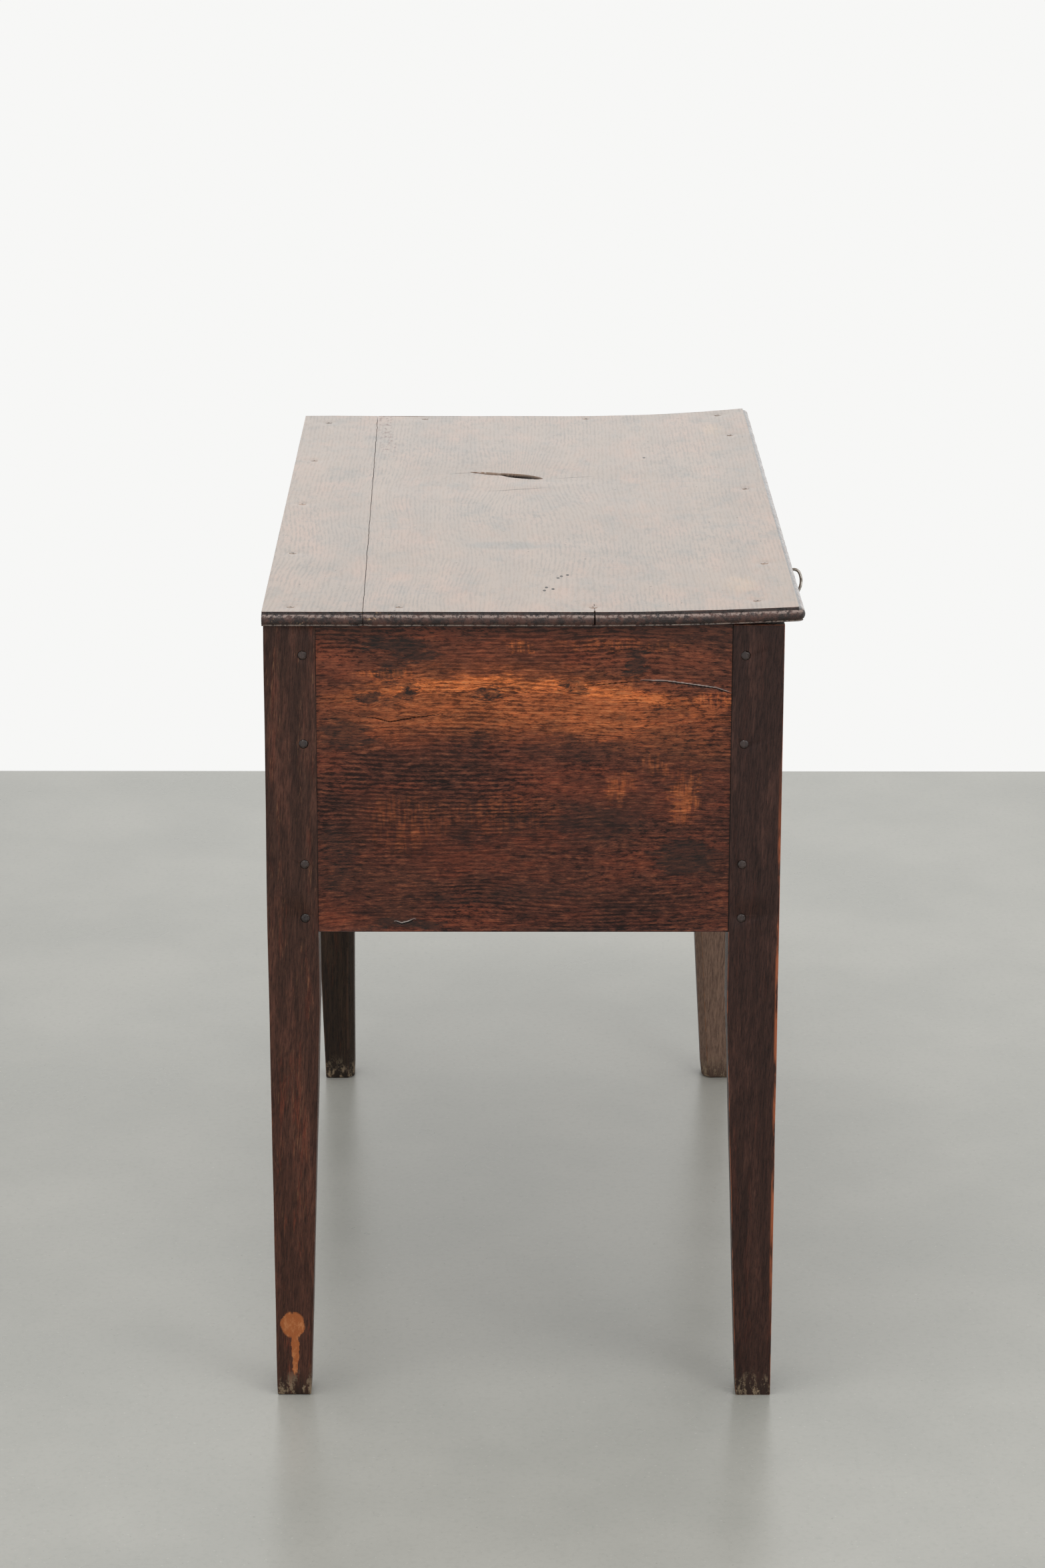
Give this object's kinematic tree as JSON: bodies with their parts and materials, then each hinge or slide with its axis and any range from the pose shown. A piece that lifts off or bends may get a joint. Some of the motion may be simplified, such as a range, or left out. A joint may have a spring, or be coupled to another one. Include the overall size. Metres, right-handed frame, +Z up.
{
  "type": "lowboy",
  "caption": "Oak side table on square tapered legs with a moulded two-board top, a lockable long drawer with its key, and two small drawers beside a kneehole.",
  "frame": {"origin": "on the floor, midway between the two ends, and midway between the back edge of the top and the tip of the key", "axes": "+Z up; X along the length of the table; -Y towards the drawer fronts and the person using it"},
  "size_m": [0.883, 0.49, 0.7284],
  "materials": {
    "leg_oak": "old dark waxed oak with upright grain",
    "side_oak": "red-brown waxed oak with dark pores and a lighter band",
    "top_oak": "faded grey-brown oak with a waxed sheen",
    "back_oak": "dry unpolished oak",
    "peg_oak": "dark end-grain oak",
    "front_oak": "dark waxed oak",
    "inner_oak": "plain dusty oak",
    "drawer_front_oak": "red-brown waxed oak",
    "bead_oak": "dark waxed oak bead",
    "drawer_lining_oak": "bare oak, darker towards the edges",
    "old_iron": "hand-forged iron, brown with age",
    "lock_iron": "wrought iron plate",
    "escutcheon_brass": "dull old brass",
    "pull_iron": "hand-forged iron"
  },
  "bodies": {
    "root": {"leg_front_left": "leg_oak", "leg_back_left": "leg_oak", "side_board_left": "side_oak", "bottom_rail_left": "front_oak", "upright_left": "front_oak", "kneehole_cheek_left": "inner_oak", "long_runner_left": "inner_oak", "outer_runner_left": "inner_oak", "inner_runner_left": "inner_oak", "kicker_left": "inner_oak", "leg_front_right": "leg_oak", "leg_back_right": "leg_oak", "side_board_right": "side_oak", "bottom_rail_right": "front_oak", "upright_right": "front_oak", "kneehole_cheek_right": "inner_oak", "long_runner_right": "inner_oak", "outer_runner_right": "inner_oak", "inner_runner_right": "inner_oak", "kicker_right": "inner_oak", "back_board_lower": "back_oak", "back_board_upper": "back_oak", "top_board_wide": "top_oak", "top_board_narrow": "top_oak", "top_rail": "front_oak", "middle_rail": "front_oak", "kneehole_apron": "front_oak", "drawer_stops": "inner_oak", "back_nails": "old_iron", "top_pegs": "peg_oak", "frame_pegs": "peg_oak"},
    "long_drawer": {"long_drawer_front": "drawer_front_oak", "long_drawer_side_left": "drawer_lining_oak", "long_drawer_side_right": "drawer_lining_oak", "long_drawer_back": "drawer_lining_oak", "long_drawer_bottom": "drawer_lining_oak", "long_drawer_beads": "bead_oak", "lock_case": "lock_iron", "lock_screws": "old_iron", "escutcheon": "escutcheon_brass"},
    "lock_bolt": {"lock_bolt": "lock_iron"},
    "key": {"key": "old_iron"},
    "left_drawer": {"left_drawer_front": "drawer_front_oak", "left_drawer_side_left": "drawer_lining_oak", "left_drawer_side_right": "drawer_lining_oak", "left_drawer_back": "drawer_lining_oak", "left_drawer_bottom": "drawer_lining_oak", "left_drawer_beads": "bead_oak", "left_rosette": "pull_iron", "left_staple": "pull_iron"},
    "left_ring": {"left_ring": "pull_iron"},
    "right_drawer": {"right_drawer_front": "drawer_front_oak", "right_drawer_side_left": "drawer_lining_oak", "right_drawer_side_right": "drawer_lining_oak", "right_drawer_back": "drawer_lining_oak", "right_drawer_bottom": "drawer_lining_oak", "right_drawer_beads": "bead_oak", "right_rosette": "pull_iron", "right_staple": "pull_iron"},
    "right_ring": {"right_ring": "pull_iron"}
  },
  "joints": [
    {"name": "long_drawer_slide", "type": "slide", "parent": "root", "child": "long_drawer", "axis": [0, -1, 0], "range_m": [0, 0.3]},
    {"name": "left_drawer_slide", "type": "slide", "parent": "root", "child": "left_drawer", "axis": [0, -1, 0], "range_m": [0, 0.3]},
    {"name": "right_drawer_slide", "type": "slide", "parent": "root", "child": "right_drawer", "axis": [0, -1, 0], "range_m": [0, 0.3]},
    {"name": "key_turn", "type": "hinge", "parent": "long_drawer", "child": "key", "pos_m": [0, -0.198, 0.645], "axis": [0, 1, 0], "range_deg": [0, 180]},
    {"name": "lock_bolt_slide", "type": "slide", "parent": "long_drawer", "child": "lock_bolt", "axis": [0, 0, 1], "range_m": [0, 0.007]},
    {"name": "left_ring_swing", "type": "hinge", "parent": "left_drawer", "child": "left_ring", "pos_m": [-0.272, -0.2042, 0.511], "axis": [-1, 0, 0], "range_deg": [0, 110]},
    {"name": "right_ring_swing", "type": "hinge", "parent": "right_drawer", "child": "right_ring", "pos_m": [0.272, -0.2042, 0.511], "axis": [-1, 0, 0], "range_deg": [0, 110]}
  ],
  "couplings": [
    {"joint": "key_turn", "follows": "lock_bolt_slide", "rad_per_m": 448.8}
  ]
}
